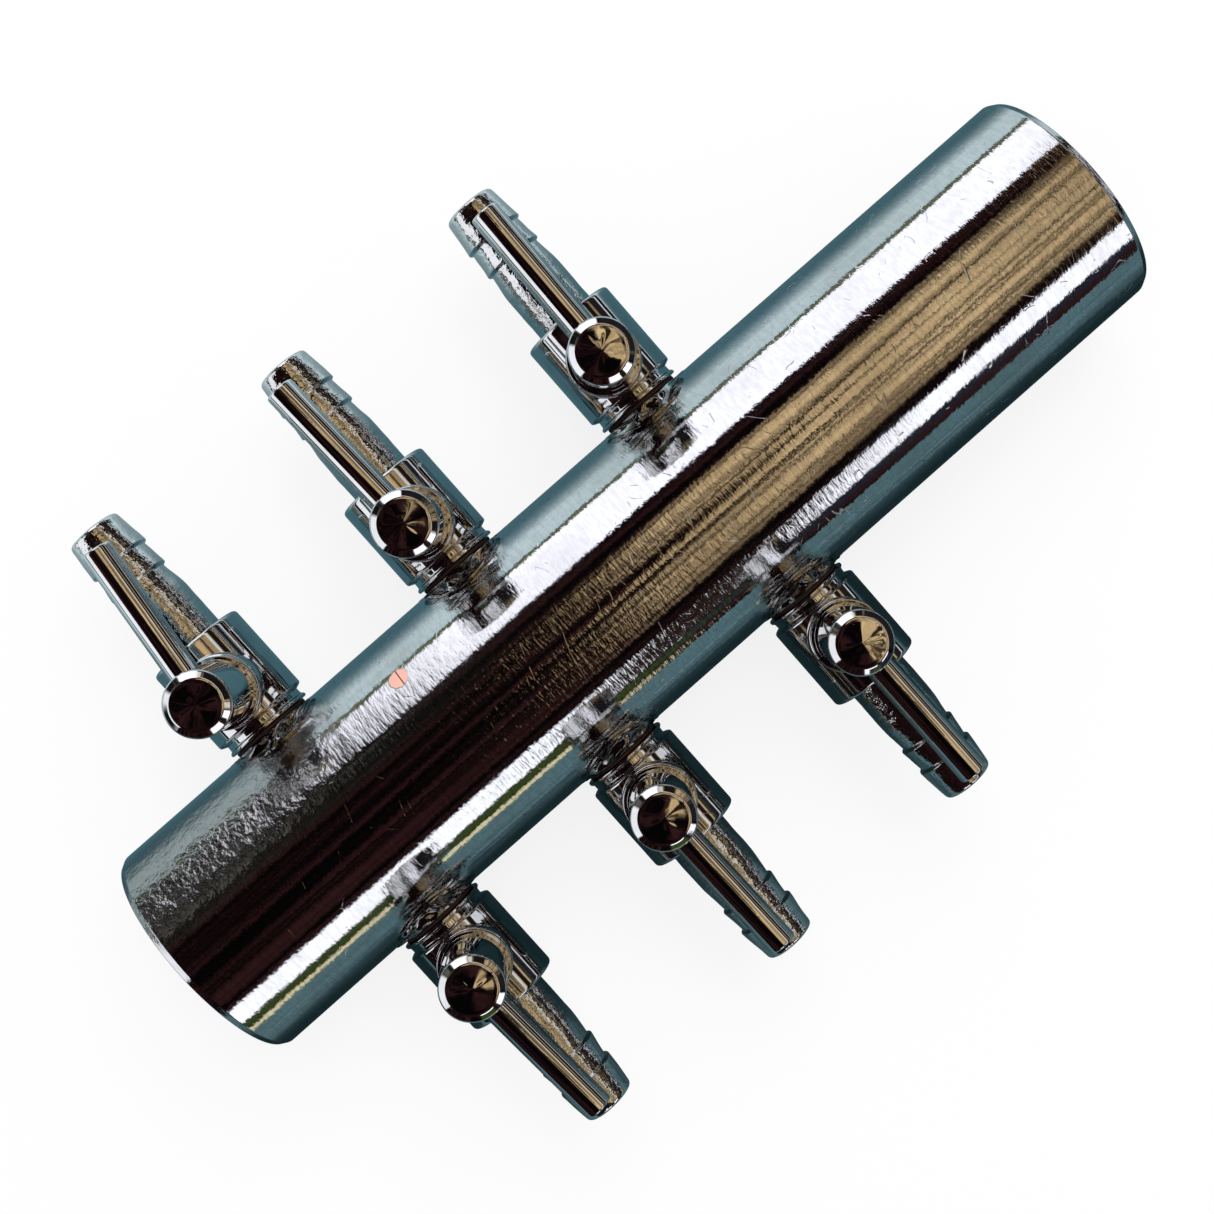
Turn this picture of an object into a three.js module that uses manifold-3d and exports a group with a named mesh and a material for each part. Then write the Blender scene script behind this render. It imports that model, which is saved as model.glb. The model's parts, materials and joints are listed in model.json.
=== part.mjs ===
// A six-way gas manifold: one plain tube, open at its inlet end and closed by a disc at the other,
// with two rows of three lever valves, each on a stub brazed through the tube's wall.
// Millimetres. The origin is the middle of the closed end, +X runs along the tube to the inlet,
// +Z runs up the valve spindles, and the outlets point along +Y and -Y.

import * as THREE from 'three';
import { mergeVertices } from 'three/addons/utils/BufferGeometryUtils.js';
import Module from 'manifold-3d';

// Main tube
const TUBE_RADIUS = 10;
const TUBE_WALL = 1;
const TUBE_LENGTH = 94;
const TUBE_EDGE = 0.25;
const END_DISC_THICKNESS = 1.2;

// Outlets: three to a row, opposite each other
const FIRST_OUTLET = 16;
const OUTLET_PITCH = 20;
const OUTLETS_PER_ROW = 3;

// Outlet parts, measured outwards from the tube's axis
const STUB_INNER_END = 8.4;
const STUB_OUTER_END = 10;
const STUB_RADIUS = 3.4;
const RING_START = 10.06;
const RING_END = 10.34;
const RING_RADIUS = 3.55;
const NECK_START = 10.4;
const NECK_RADIUS = 3.6;
const BODY_START = 11.4;
const BODY_END = 19.35;
const BODY_RADIUS = 4.15;
const BODY_EDGE = 0.35;
const GAS_BORE_RADIUS = 1.45;

// Hose barb
const BARB_TIP = 31.45;
const BARB_TIP_RADIUS = 2.2;
const BARB_CREST_RADIUS = 2.65;
const BARB_GROOVE_RADIUS = 2.4;
const FIRST_CREST_FROM_TIP = 3.2;
const CREST_SPACING = 2.3;
const BARB_RUN_OUT = 2.2;

// Spindle, with heights counted from the outlet's axis
const SPINDLE_FROM_TUBE_AXIS = 14.7;
const PLUG_RADIUS = 2.48;
const PLUG_BORE_RADIUS = 2.57;
const PLUG_BOTTOM = -2.9;
const BOSS_RADIUS = 3.05;
const BOSS_TOP = 4.9;
const FOOT_RADIUS = 2.9;
const FOOT_BOTTOM = -4.3;
const STEM_RADIUS = 1.5;
const STEM_BORE_RADIUS = 1.58;
const STEM_BOTTOM = -5.3;
const COLLAR_RADIUS = 2.95;
const COLLAR_HEIGHT = 0.6;
const POST_RADIUS = 2.6;
const POST_FACE_RADIUS = 1.95;
const POST_TOP = 14;
const POST_CHAMFER = 0.65;

// Seals and clip on the spindle
const O_RING_HEIGHT = 2.2;
const O_RING_SECTION_RADIUS = 0.32;
const O_RING_MEAN_RADIUS = 2.18;
const O_RING_GROOVE_RADIUS = 1.76;
const O_RING_GROOVE_HALF_WIDTH = 0.37;
const CLIP_HEIGHT = -4.72;
const CLIP_THICKNESS = 0.34;
const CLIP_OUTER_RADIUS = 2.5;
const CLIP_INNER_RADIUS = 1.2;
const CLIP_HALF_OPENING = 0.5;
const CLIP_GROOVE_RADIUS = 1.1;
const CLIP_GROOVE_HALF_WIDTH = 0.23;

// Lever
const LEVER_RADIUS = 1.2;
const LEVER_HEIGHT = 11.2;
const LEVER_REACH = 13.8;
const LEVER_ROOT = 1.1;
const LEVER_EDGE = 0.2;

// Clearances between pieces
const CUT_GAP = 0.3;
const SEAT_GAP = 0.06;
const FIXED_FIT = 0.08;

// Facets round a turned piece
const TUBE_FACETS = 48;
const TURNED_FACETS = 16;
const LEVER_FACETS = 12;
const O_RING_SECTION_FACETS = 5;
const O_RING_FACETS = 12;
const CLIP_ARC_STEPS = 6;

// How each valve was fitted. side is the way its outlet points along Y. Angles in degrees:
// roll turns the valve about its outlet, lever turns its lever off the outlet's line,
// both by the right-hand rule about the outlet's own outward and upward directions.
const VALVES = [
  { side: 1, roll: -2.5, lever: -7 },
  { side: 1, roll: -1.5, lever: 2 },
  { side: 1, roll: -3.5, lever: -1 },
  { side: -1, roll: -1.5, lever: 3 },
  { side: -1, roll: 2, lever: 1 },
  { side: -1, roll: 2, lever: 0.5 },
];

const wasm = await Module();
wasm.setup();

// Materials
const chrome = (color, roughness) => new THREE.MeshStandardMaterial({ color, roughness, metalness: 1 });
const tubeChrome = chrome(0xc9ccce, 0.18);
const valveChrome = chrome(0xd4d4d2, 0.08);
const brazeMetal = chrome(0x8e8c88, 0.35);
const springSteel = chrome(0x9a9a9c, 0.3);
const sealFibre = new THREE.MeshStandardMaterial({ color: 0x3a2018, roughness: 0.7, metalness: 0 });
const sealRubber = new THREE.MeshStandardMaterial({ color: 0x161616, roughness: 0.65, metalness: 0 });

// A closed geometry as a solid that can be joined and cut.
function toSolid(geometry) {
  const bare = geometry.clone();
  bare.deleteAttribute('normal');
  bare.deleteAttribute('uv');
  const merged = mergeVertices(bare);
  const corners = merged.index.array;
  const kept = [];
  for (let i = 0; i < corners.length; i += 3) {
    const [a, b, c] = [corners[i], corners[i + 1], corners[i + 2]];
    if (a !== b && b !== c && c !== a) kept.push(a, b, c);
  }
  const mesh = new wasm.Mesh({
    numProp: 3,
    vertProperties: new Float32Array(merged.attributes.position.array),
    triVerts: new Uint32Array(kept),
  });
  return new wasm.Manifold(mesh);
}

// A solid as a geometry with a flat normal on each facet.
function toGeometry(solid) {
  const mesh = solid.getMesh();
  const geometry = new THREE.BufferGeometry();
  geometry.setAttribute('position', new THREE.BufferAttribute(mesh.vertProperties, 3));
  geometry.setIndex(new THREE.BufferAttribute(mesh.triVerts, 1));
  const flat = geometry.toNonIndexed();
  flat.computeVertexNormals();
  return flat;
}

// A profile of [radius, distance] pairs turned about an axis, with the distance along it.
const turnedAlongY = (profile, facets = TURNED_FACETS) => new THREE.LatheGeometry(
  profile.map(([radius, distance]) => new THREE.Vector2(radius, distance)),
  facets,
);
const turnedAlongX = (profile, facets) => turnedAlongY(profile, facets).rotateZ(-Math.PI / 2);
const turnedAlongZ = (profile, facets) => turnedAlongY(profile, facets).rotateX(Math.PI / 2);

// Profiles of a rod and of a pipe, from one distance to another.
const rodProfile = (radius, from, to) => [[0, from], [radius, from], [radius, to], [0, to]];
const pipeProfile = (inner, outer, from, to) => [
  [inner, from],
  [outer, from],
  [outer, to],
  [inner, to],
  [inner, from],
];

// A mesh with its node's name.
function named(name, solid, material) {
  const mesh = new THREE.Mesh(toGeometry(solid), material);
  mesh.name = name;
  return mesh;
}

// The main tube, drilled right through for each pair of stubs.
function manifoldTube() {
  const inner = TUBE_RADIUS - TUBE_WALL;
  const pipe = toSolid(turnedAlongX([
    [inner, 0],
    [TUBE_RADIUS - TUBE_EDGE, 0],
    [TUBE_RADIUS, TUBE_EDGE],
    [TUBE_RADIUS, TUBE_LENGTH - TUBE_EDGE],
    [TUBE_RADIUS - TUBE_EDGE, TUBE_LENGTH],
    [inner, TUBE_LENGTH],
    [inner, 0],
  ], TUBE_FACETS));
  const drill = turnedAlongY(rodProfile(STUB_RADIUS + CUT_GAP, -2 * TUBE_RADIUS, 2 * TUBE_RADIUS));
  let drilled = pipe;
  for (let pair = 0; pair < OUTLETS_PER_ROW; pair += 1) {
    const place = FIRST_OUTLET + OUTLET_PITCH * pair;
    drilled = drilled.subtract(toSolid(drill.clone().translate(place, 0, 0)));
  }
  return named('manifold_tube', drilled, tubeChrome);
}

// The disc that closes the tube, just inside its end.
function endDisc() {
  const radius = TUBE_RADIUS - TUBE_WALL - FIXED_FIT;
  const disc = turnedAlongX(rodProfile(radius, 0, END_DISC_THICKNESS), TUBE_FACETS);
  return named('end_disc', toSolid(disc), tubeChrome);
}

// The stub that is brazed through the tube's wall.
function outletStub(number) {
  const pipe = turnedAlongY(pipeProfile(GAS_BORE_RADIUS, STUB_RADIUS, STUB_INNER_END, STUB_OUTER_END));
  return named(`outlet_stub_${number}`, toSolid(pipe), brazeMetal);
}

// The flat ring that seals the valve's neck on its stub.
function sealingRing(number) {
  const ring = turnedAlongY(pipeProfile(GAS_BORE_RADIUS, RING_RADIUS, RING_START, RING_END));
  return named(`sealing_ring_${number}`, toSolid(ring), sealFibre);
}

// The outside of a valve body, turned about its outlet: neck, barrel and hose barb.
function bodyProfile() {
  const firstCrest = BARB_TIP - FIRST_CREST_FROM_TIP;
  const secondCrest = firstCrest - CREST_SPACING;
  return [
    [0, NECK_START],
    [NECK_RADIUS, NECK_START],
    [NECK_RADIUS, BODY_START],
    [BODY_RADIUS - BODY_EDGE, BODY_START],
    [BODY_RADIUS, BODY_START + BODY_EDGE],
    [BODY_RADIUS, BODY_END - BODY_EDGE],
    [BODY_RADIUS - BODY_EDGE, BODY_END],
    [BARB_CREST_RADIUS, BODY_END],
    [BARB_CREST_RADIUS, secondCrest - BARB_RUN_OUT],
    [BARB_GROOVE_RADIUS, secondCrest],
    [BARB_CREST_RADIUS, secondCrest],
    [BARB_GROOVE_RADIUS, firstCrest],
    [BARB_CREST_RADIUS, firstCrest],
    [BARB_TIP_RADIUS, BARB_TIP],
    [0, BARB_TIP],
  ];
}

// A valve body: barrel and barb in one, with a boss for the spindle and the bores cut through.
function valveBody(number) {
  const atSpindle = (geometry) => toSolid(geometry.translate(0, SPINDLE_FROM_TUBE_AXIS, 0));
  const barrel = toSolid(turnedAlongY(bodyProfile()));
  const boss = atSpindle(turnedAlongZ(rodProfile(BOSS_RADIUS, 0, BOSS_TOP)));
  const foot = atSpindle(turnedAlongZ(rodProfile(FOOT_RADIUS, FOOT_BOTTOM, 0)));
  const seat = PLUG_BOTTOM - SEAT_GAP;
  const plugBore = atSpindle(turnedAlongZ(rodProfile(PLUG_BORE_RADIUS, seat, 2 * BOSS_TOP)));
  const stemBore = atSpindle(turnedAlongZ(rodProfile(STEM_BORE_RADIUS, 2 * FOOT_BOTTOM, 0)));
  const gasBore = toSolid(turnedAlongY(rodProfile(GAS_BORE_RADIUS, 0, 2 * BARB_TIP), LEVER_FACETS));
  const outside = barrel.add(boss).add(foot);
  const bored = outside.subtract(plugBore).subtract(stemBore).subtract(gasBore);
  return named(`valve_body_${number}`, bored, valveChrome);
}

// The pair of corners on each side of a groove in a turned profile.
const groove = (outer, inner, middle, halfWidth) => [
  [outer, middle - halfWidth],
  [inner, middle - halfWidth],
  [inner, middle + halfWidth],
  [outer, middle + halfWidth],
];

// The plug and its post, turned in one piece: it is cross-drilled for the gas and for the lever.
function valvePlug(number) {
  const collarBottom = BOSS_TOP + SEAT_GAP;
  const outside = toSolid(turnedAlongZ([
    [0, STEM_BOTTOM],
    [STEM_RADIUS, STEM_BOTTOM],
    ...groove(STEM_RADIUS, CLIP_GROOVE_RADIUS, CLIP_HEIGHT, CLIP_GROOVE_HALF_WIDTH),
    [STEM_RADIUS, PLUG_BOTTOM],
    [PLUG_RADIUS, PLUG_BOTTOM],
    ...groove(PLUG_RADIUS, O_RING_GROOVE_RADIUS, -O_RING_HEIGHT, O_RING_GROOVE_HALF_WIDTH),
    ...groove(PLUG_RADIUS, O_RING_GROOVE_RADIUS, O_RING_HEIGHT, O_RING_GROOVE_HALF_WIDTH),
    [PLUG_RADIUS, collarBottom],
    [COLLAR_RADIUS, collarBottom],
    [COLLAR_RADIUS, collarBottom + COLLAR_HEIGHT],
    [POST_RADIUS, POST_TOP - POST_CHAMFER],
    [POST_FACE_RADIUS, POST_TOP],
    [0, POST_TOP],
  ]));
  const gasHole = toSolid(turnedAlongY(rodProfile(GAS_BORE_RADIUS, -BODY_RADIUS, BODY_RADIUS), LEVER_FACETS));
  const leverSocket = turnedAlongY(
    rodProfile(LEVER_RADIUS + FIXED_FIT, LEVER_ROOT - FIXED_FIT, LEVER_REACH),
    LEVER_FACETS,
  );
  const socket = toSolid(leverSocket.translate(0, 0, LEVER_HEIGHT));
  return named(`valve_plug_${number}`, outside.subtract(gasHole).subtract(socket), valveChrome);
}

// The lever: a plain rod let into the side of the post.
function lever(number) {
  const shank = turnedAlongY([
    [0, LEVER_ROOT],
    [LEVER_RADIUS, LEVER_ROOT],
    [LEVER_RADIUS, LEVER_REACH - LEVER_EDGE],
    [LEVER_RADIUS - LEVER_EDGE, LEVER_REACH],
    [0, LEVER_REACH],
  ], LEVER_FACETS);
  return named(`lever_${number}`, toSolid(shank.translate(0, 0, LEVER_HEIGHT)), valveChrome);
}

// An O-ring in one of the plug's two grooves.
function oRing(name, height) {
  const ring = new THREE.TorusGeometry(
    O_RING_MEAN_RADIUS,
    O_RING_SECTION_RADIUS,
    O_RING_SECTION_FACETS,
    O_RING_FACETS,
  );
  return named(name, toSolid(ring.translate(0, 0, height)), sealRubber);
}

// The open spring clip that holds the plug down, in the groove below the body's foot.
function retainingClip(number) {
  const outerGap = Math.asin(CLIP_HALF_OPENING / CLIP_OUTER_RADIUS);
  const innerGap = Math.asin(CLIP_HALF_OPENING / CLIP_INNER_RADIUS);
  const outline = new THREE.Shape();
  outline.absarc(0, 0, CLIP_OUTER_RADIUS, outerGap, 2 * Math.PI - outerGap, false);
  outline.absarc(0, 0, CLIP_INNER_RADIUS, 2 * Math.PI - innerGap, innerGap, true);
  outline.closePath();
  const clip = new THREE.ExtrudeGeometry(outline, {
    depth: CLIP_THICKNESS,
    bevelEnabled: false,
    curveSegments: CLIP_ARC_STEPS,
  });
  return named(
    `retaining_clip_${number}`,
    toSolid(clip.translate(0, 0, CLIP_HEIGHT - CLIP_THICKNESS / 2)),
    springSteel,
  );
}

// Everything that turns with one lever, standing on the spindle's axis.
function spindle(number, leverAngle) {
  const group = new THREE.Group();
  group.position.y = SPINDLE_FROM_TUBE_AXIS;
  group.rotation.z = leverAngle;
  group.add(
    valvePlug(number),
    lever(number),
    oRing(`upper_o_ring_${number}`, O_RING_HEIGHT),
    oRing(`lower_o_ring_${number}`, -O_RING_HEIGHT),
    retainingClip(number),
  );
  return group;
}

// One outlet: stub and ring on the tube, and the valve rolled about the outlet's axis.
function outlet(valve, index) {
  const number = index + 1;
  const rolled = new THREE.Group();
  rolled.rotation.y = THREE.MathUtils.degToRad(valve.roll);
  rolled.add(valveBody(number), spindle(number, THREE.MathUtils.degToRad(valve.lever)));
  const group = new THREE.Group();
  group.position.x = FIRST_OUTLET + OUTLET_PITCH * (index % OUTLETS_PER_ROW);
  group.rotation.z = valve.side > 0 ? 0 : Math.PI;
  group.add(outletStub(number), sealingRing(number), rolled);
  return group;
}

const manifold = new THREE.Group();
manifold.add(manifoldTube(), endDisc(), ...VALVES.map(outlet));

export default manifold;
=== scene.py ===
"""Looks of a six-way gas manifold with lever valves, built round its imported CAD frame.

Every length in the sizes below is in millimetres, and every mesh is written in metres.
"""

import json
import logging
import math
from dataclasses import dataclass, field
from enum import Enum

import bpy
import numpy as np
from mathutils import Matrix, Vector


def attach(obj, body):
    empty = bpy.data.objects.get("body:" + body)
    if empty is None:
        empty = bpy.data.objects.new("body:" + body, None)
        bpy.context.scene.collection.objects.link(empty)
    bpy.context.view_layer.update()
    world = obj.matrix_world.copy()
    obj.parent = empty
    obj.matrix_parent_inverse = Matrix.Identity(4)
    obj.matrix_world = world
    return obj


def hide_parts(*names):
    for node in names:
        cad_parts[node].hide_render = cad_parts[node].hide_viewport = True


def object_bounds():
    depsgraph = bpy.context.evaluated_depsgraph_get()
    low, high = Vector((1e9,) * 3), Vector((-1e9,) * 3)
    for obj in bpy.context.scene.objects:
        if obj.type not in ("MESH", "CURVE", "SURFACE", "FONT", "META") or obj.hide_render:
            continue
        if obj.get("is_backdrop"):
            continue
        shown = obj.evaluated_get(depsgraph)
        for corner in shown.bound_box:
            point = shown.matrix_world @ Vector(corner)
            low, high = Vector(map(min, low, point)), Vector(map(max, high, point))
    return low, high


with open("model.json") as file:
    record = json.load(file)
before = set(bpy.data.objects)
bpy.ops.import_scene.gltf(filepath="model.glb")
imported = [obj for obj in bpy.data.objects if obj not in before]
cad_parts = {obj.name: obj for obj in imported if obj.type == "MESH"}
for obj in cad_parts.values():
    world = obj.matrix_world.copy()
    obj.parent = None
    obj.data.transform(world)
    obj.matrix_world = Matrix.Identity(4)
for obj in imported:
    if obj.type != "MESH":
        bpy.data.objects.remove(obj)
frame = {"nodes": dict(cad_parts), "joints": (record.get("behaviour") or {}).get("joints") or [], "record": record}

LOG = logging.getLogger("manifold")
MM = 0.001
TURN = 2.0 * math.pi

Colour = tuple[float, float, float, float]
Grid = np.ndarray
Socket = bpy.types.NodeSocket
Sockets = dict[str, Socket]
Span = tuple[float, float, float]


# --------------------------------------------------------------------------- surfaces


def corner_profile(
    corners: list[tuple[float, float, float]], steps: int = 6, closed: bool = False
) -> np.ndarray:
    """Rounds the corners of an outline in the (radius, distance) plane.

    Each corner is cut back by its own length along both of its sides, and a quadratic curve
    (1-t)^2 a + 2t(1-t) p + t^2 b joins the two cut points a and b round the corner p. A close
    second point on each side of a curve keeps the flats beside it flat when shaded smooth.

    Args:
        corners: Radius, distance and cut-back of each corner, in millimetres.
        steps: Number of points on each curve.
        closed: Whether the last corner joins the first.

    Returns:
        An array of (radius, distance) rows.
    """
    points = np.array([corner[:2] for corner in corners], float)
    count = len(points)
    t = np.linspace(0.0, 1.0, steps)[:, None]
    rows = []
    for index, (_, _, cut) in enumerate(corners):
        here = points[index]
        if not closed and index in (0, count - 1):
            rows.append(here[None, :])
            continue
        before, after = points[index - 1] - here, points[(index + 1) % count] - here
        reach = min(cut, 0.45 * float(np.hypot(*before)), 0.45 * float(np.hypot(*after)))
        back, ahead = before / np.hypot(*before), after / np.hypot(*after)
        a, b = here + back * reach, here + ahead * reach
        curve = (1 - t) ** 2 * a + 2 * t * (1 - t) * here + t**2 * b
        guard = 0.06 * reach
        rows.append(np.vstack([a + back * guard, curve, b + ahead * guard]))
    return np.vstack(rows)


def refine(profile: np.ndarray, longest: float) -> np.ndarray:
    """Splits the long sides of a profile evenly, so that a displaced wall bends smoothly.

    Args:
        profile: Rows of (radius, distance).
        longest: The longest side that is left whole.

    Returns:
        The profile with the added rows.
    """
    rows = [profile[:1]]
    for start, end in zip(profile[:-1], profile[1:]):
        parts = max(1, int(math.ceil(float(np.hypot(*(end - start))) / longest)))
        rows.append(start + (end - start) * (np.arange(1, parts + 1) / parts)[:, None])
    return np.vstack(rows)


def turn_steps(segments: int) -> np.ndarray:
    """The angles of the even steps in one turn, as a column."""
    return np.linspace(0.0, TURN, segments, endpoint=False)[:, None]


def turned_grid(profile: np.ndarray, segments: int) -> Grid:
    """Carries a profile round the local Y axis.

    P(u, v) = (r(v) cos u, h(v), r(v) sin u), with u over one turn.

    Args:
        profile: Rows of (radius r, distance h).
        segments: Number of steps in a turn.

    Returns:
        A grid of shape (segments, rows, 3).
    """
    u = turn_steps(segments)
    radius, distance = profile[None, :, 0], profile[None, :, 1]
    return np.stack([radius * np.cos(u), distance + 0.0 * u, radius * np.sin(u)], 2)


def signed_volume(points: np.ndarray, quads: np.ndarray) -> float:
    """Volume in a closed mesh: the sum of a.(b x c)/6 over its triangles, negative if inside out."""
    triangles = np.vstack([quads[:, [0, 1, 2]], quads[:, [0, 2, 3]]])
    a, b, c = (points[triangles[:, corner]] for corner in range(3))
    return float(np.einsum("ij,ij->i", a, np.cross(b, c)).sum() / 6.0)


def mesh_from_grids(name: str, grids: list[Grid], place: Matrix) -> bpy.types.Object:
    """Makes one object of closed surfaces, each a grid that wraps in both directions.

    A row of a grid whose points all meet is a pole: its doubles are merged, and the flattened
    quads beside it become triangles.

    Args:
        name: The object's name.
        grids: Surfaces of shape (nu, nv, 3), in millimetres in the piece's own frame.
        place: The piece's own frame, in millimetres in the row's frame.

    Returns:
        The object, at the origin, with its place in its mesh.
    """
    all_points, all_faces, start = [], [], 0
    turn = np.array(place.to_3x3())
    origin = np.array(place.translation)
    for grid in grids:
        nu, nv, _ = grid.shape
        points = grid.reshape(-1, 3) @ turn.T + origin
        i, j = np.meshgrid(np.arange(nu), np.arange(nv), indexing="ij")
        after_i, after_j = (i + 1) % nu, (j + 1) % nv
        corners = [i * nv + j, after_i * nv + j, after_i * nv + after_j, i * nv + after_j]
        rounded = np.round(points, 6)
        _, first, merged = np.unique(rounded, axis=0, return_index=True, return_inverse=True)
        quads = merged.reshape(-1)[np.stack(corners, 2).reshape(-1, 4)]
        points = points[first]
        if signed_volume(points, quads) < 0:
            quads = quads[:, ::-1]
        for quad in quads.tolist():
            face = [corner for at, corner in enumerate(quad) if corner != quad[at - 1]]
            if len(set(face)) > 2:
                all_faces.append([corner + start for corner in face])
        all_points.append(points * MM)
        start += len(first)
    mesh = bpy.data.meshes.new(name)
    mesh.from_pydata(np.vstack(all_points).tolist(), [], all_faces)
    mesh.validate()
    mesh.shade_smooth()
    piece = bpy.data.objects.new(name, mesh)
    bpy.context.scene.collection.objects.link(piece)
    return piece


def wobble(
    u: np.ndarray, v: np.ndarray, seed: int, turns: int = 7, fineness: float = 2.5
) -> np.ndarray:
    """A smooth lumpy field that repeats with each turn.

    The sum of 16 cosines cos(n u + m v + phase), with whole n, scaled to a spread of about one.

    Args:
        u: Angle round the turn.
        v: Distance along it, in millimetres.
        seed: Chooses the cosines.
        turns: The most lumps in a turn.
        fineness: Spread of m, in radians a millimetre.

    Returns:
        The field, in the shape of u and v together.
    """
    rng = np.random.default_rng(seed)
    count = 16
    n = rng.integers(1, turns + 1, count)
    m = rng.normal(0.0, fineness, count)
    phase = rng.uniform(0.0, TURN, count)
    return np.cos(u[..., None] * n + v[..., None] * m + phase).sum(-1) * math.sqrt(2.0 / count)


def columns(rows: list[tuple[object, object]], u: np.ndarray) -> tuple[np.ndarray, np.ndarray]:
    """Lines up an outline's radii and heights, each a number or an array beside the column u."""
    return tuple(np.hstack([row[at] + 0.0 * u for row in rows]) for at in (0, 1))


def stood_up(grid: Grid) -> Grid:
    """Turns a grid from the local Y axis to the local Z axis: (x, y, z) goes to (x, -z, y)."""
    return np.stack([grid[..., 0], -grid[..., 2], grid[..., 1]], 2)


def eased(value: np.ndarray, low: float, high: float) -> np.ndarray:
    """Eases from 0 at low to 1 at high: 3t^2 - 2t^3."""
    t = np.clip((value - low) / (high - low), 0.0, 1.0)
    return t * t * (3.0 - 2.0 * t)


# --------------------------------------------------------------------------- node tools


def display(red: int, green: int, blue: int) -> Colour:
    """A colour as it looks on a screen, from 0 to 255, as the linear colour that a node takes."""
    values = [channel / 255.0 for channel in (red, green, blue)]
    linear = [v / 12.92 if v <= 0.04045 else ((v + 0.055) / 1.055) ** 2.4 for v in values]
    return (linear[0], linear[1], linear[2], 1.0)


class Graph:
    """Adds and joins the nodes of one tree."""

    def __init__(self, tree: bpy.types.NodeTree) -> None:
        """Keeps the tree."""
        self.tree = tree

    def add(self, kind: str, **settings: object) -> bpy.types.Node:
        """Adds a node of a kind, with its settings."""
        node = self.tree.nodes.new(kind)
        for key, value in settings.items():
            setattr(node, key, value)
        return node

    def feed(self, socket: Socket, value: object) -> None:
        """Joins another socket to this one, or sets this one's own value."""
        if isinstance(value, Socket):
            self.tree.links.new(value, socket)
        else:
            socket.default_value = value

    def math(self, operation: str, *values: object) -> Socket:
        """One step of arithmetic."""
        node = self.add("ShaderNodeMath", operation=operation)
        for socket, value in zip(node.inputs, values):
            self.feed(socket, value)
        return node.outputs[0]

    def plus(self, first: object, second: object) -> Socket:
        """The sum of two numbers."""
        return self.math("ADD", first, second)

    def minus(self, first: object, second: object) -> Socket:
        """The difference of two numbers."""
        return self.math("SUBTRACT", first, second)

    def times(self, *values: object) -> object:
        """The product of numbers."""
        product = values[0]
        for value in values[1:]:
            product = self.math("MULTIPLY", product, value)
        return product

    def scaled(self, value: object, factor: object, offset: object) -> Socket:
        """A number times a factor, plus an offset."""
        return self.math("MULTIPLY_ADD", value, factor, offset)

    def absolute(self, value: object) -> Socket:
        """A number without its sign."""
        return self.math("ABSOLUTE", value)

    def step(self, value: object, low: object, high: object) -> Socket:
        """Eases from 0 at low to 1 at high."""
        node = self.add("ShaderNodeMapRange", interpolation_type="SMOOTHSTEP")
        self.feed(node.inputs["Value"], value)
        self.feed(node.inputs["From Min"], low)
        self.feed(node.inputs["From Max"], high)
        return node.outputs["Result"]

    def between(self, value: object, low: float, high: float, soft: float) -> Socket:
        """Is 1 from low to high, with edges as wide as soft."""
        up = self.step(value, low - soft / 2, low + soft / 2)
        down = self.step(value, high + soft / 2, high - soft / 2)
        return self.times(up, down)

    def mix(self, factor: object, first: object, second: object) -> Socket:
        """Mixes two colours."""
        node = self.add("ShaderNodeMix", data_type="RGBA")
        for index, value in ((0, factor), (6, first), (7, second)):
            self.feed(node.inputs[index], value)
        return node.outputs[2]

    def blend(self, factor: object, first: object, second: object) -> Socket:
        """Mixes two numbers."""
        node = self.add("ShaderNodeMix", data_type="FLOAT")
        for index, value in ((0, factor), (2, first), (3, second)):
            self.feed(node.inputs[index], value)
        return node.outputs[0]

    def parts(self, vector: object) -> list[Socket]:
        """The x, y and z of a vector."""
        node = self.add("ShaderNodeSeparateXYZ")
        self.feed(node.inputs[0], vector)
        return list(node.outputs)

    def vector(self, x: object, y: object, z: object) -> Socket:
        """A vector of three numbers."""
        node = self.add("ShaderNodeCombineXYZ")
        for socket, value in zip(node.inputs, (x, y, z)):
            self.feed(socket, value)
        return node.outputs[0]

    def noise(self, vector: object, scale: object, detail: float = 2.0, rough: float = 0.5) -> Socket:
        """Smooth noise between 0 and 1."""
        node = self.add("ShaderNodeTexNoise")
        self.feed(node.inputs["Vector"], vector)
        self.feed(node.inputs["Scale"], scale)
        self.feed(node.inputs["Detail"], detail)
        self.feed(node.inputs["Roughness"], rough)
        return node.outputs["Fac"]


@dataclass(frozen=True)
class EffectGroup:
    """A shader node group with named inputs and outputs, built once."""

    name: str
    inputs: dict[str, str]
    outputs: dict[str, str]

    def tree(self) -> bpy.types.NodeTree:
        """The group's tree, made on its first use.

        Returns:
            The node tree.
        """
        found = bpy.data.node_groups.get(self.name)
        if found is not None:
            return found
        tree = bpy.data.node_groups.new(self.name, "ShaderNodeTree")
        for way, sockets in (("INPUT", self.inputs), ("OUTPUT", self.outputs)):
            for name, kind in sockets.items():
                tree.interface.new_socket(name, in_out=way, socket_type=kind)
        graph = Graph(tree)
        entry, result = graph.add("NodeGroupInput"), graph.add("NodeGroupOutput")
        made = self.wire(graph, {name: entry.outputs[name] for name in self.inputs})
        for name, value in made.items():
            graph.feed(result.inputs[name], value)
        return tree

    def wire(self, graph: Graph, given: Sockets) -> Sockets:
        """Makes the group's outputs out of its inputs."""
        raise NotImplementedError

    def place(self, graph: Graph, **values: object) -> Sockets:
        """Puts the group into a material.

        Args:
            graph: The material's tree.
            **values: A value or socket for each input, by name.

        Returns:
            The placed node's outputs, by name.
        """
        node = graph.add("ShaderNodeGroup")
        node.node_tree = self.tree()
        for name, value in values.items():
            graph.feed(node.inputs[name], value)
        return {name: node.outputs[name] for name in self.outputs}


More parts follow.
